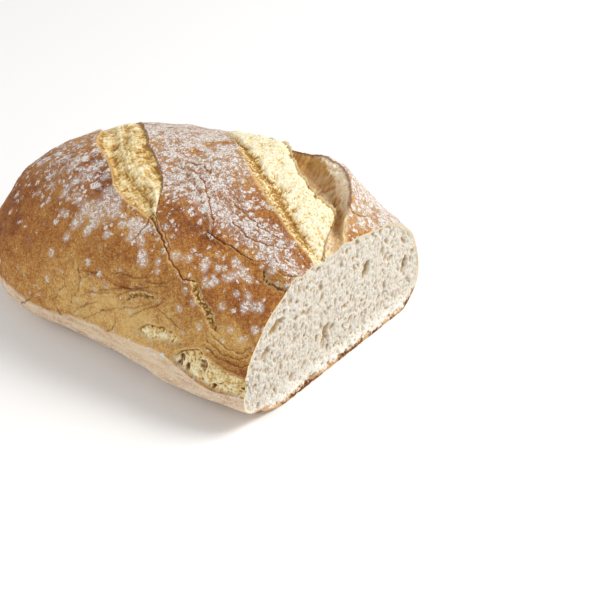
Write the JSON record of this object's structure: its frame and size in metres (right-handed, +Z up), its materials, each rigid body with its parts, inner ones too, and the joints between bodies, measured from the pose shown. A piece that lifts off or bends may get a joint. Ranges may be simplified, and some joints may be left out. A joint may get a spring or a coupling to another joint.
{
  "type": "country loaf",
  "caption": "Sourdough country loaf with an end cut off, scored, cracked and floured crust, a lifted ear and an open white crumb on the cut.",
  "frame": {"origin": "middle of the bounding box's foot, on the table plane under the loaf", "axes": "+X along the loaf towards the cut, +Y towards the floured back flank, +Z up"},
  "size_m": [0.19, 0.1394, 0.086],
  "materials": {
    "crust": "golden brown baked crust with pale flour dusting, rough and dry",
    "crumb": "cream-white open crumb of the cut and of the torn scores, soft and porous"
  },
  "bodies": {
    "root": {"loaf": "crust"}
  },
  "joints": []
}
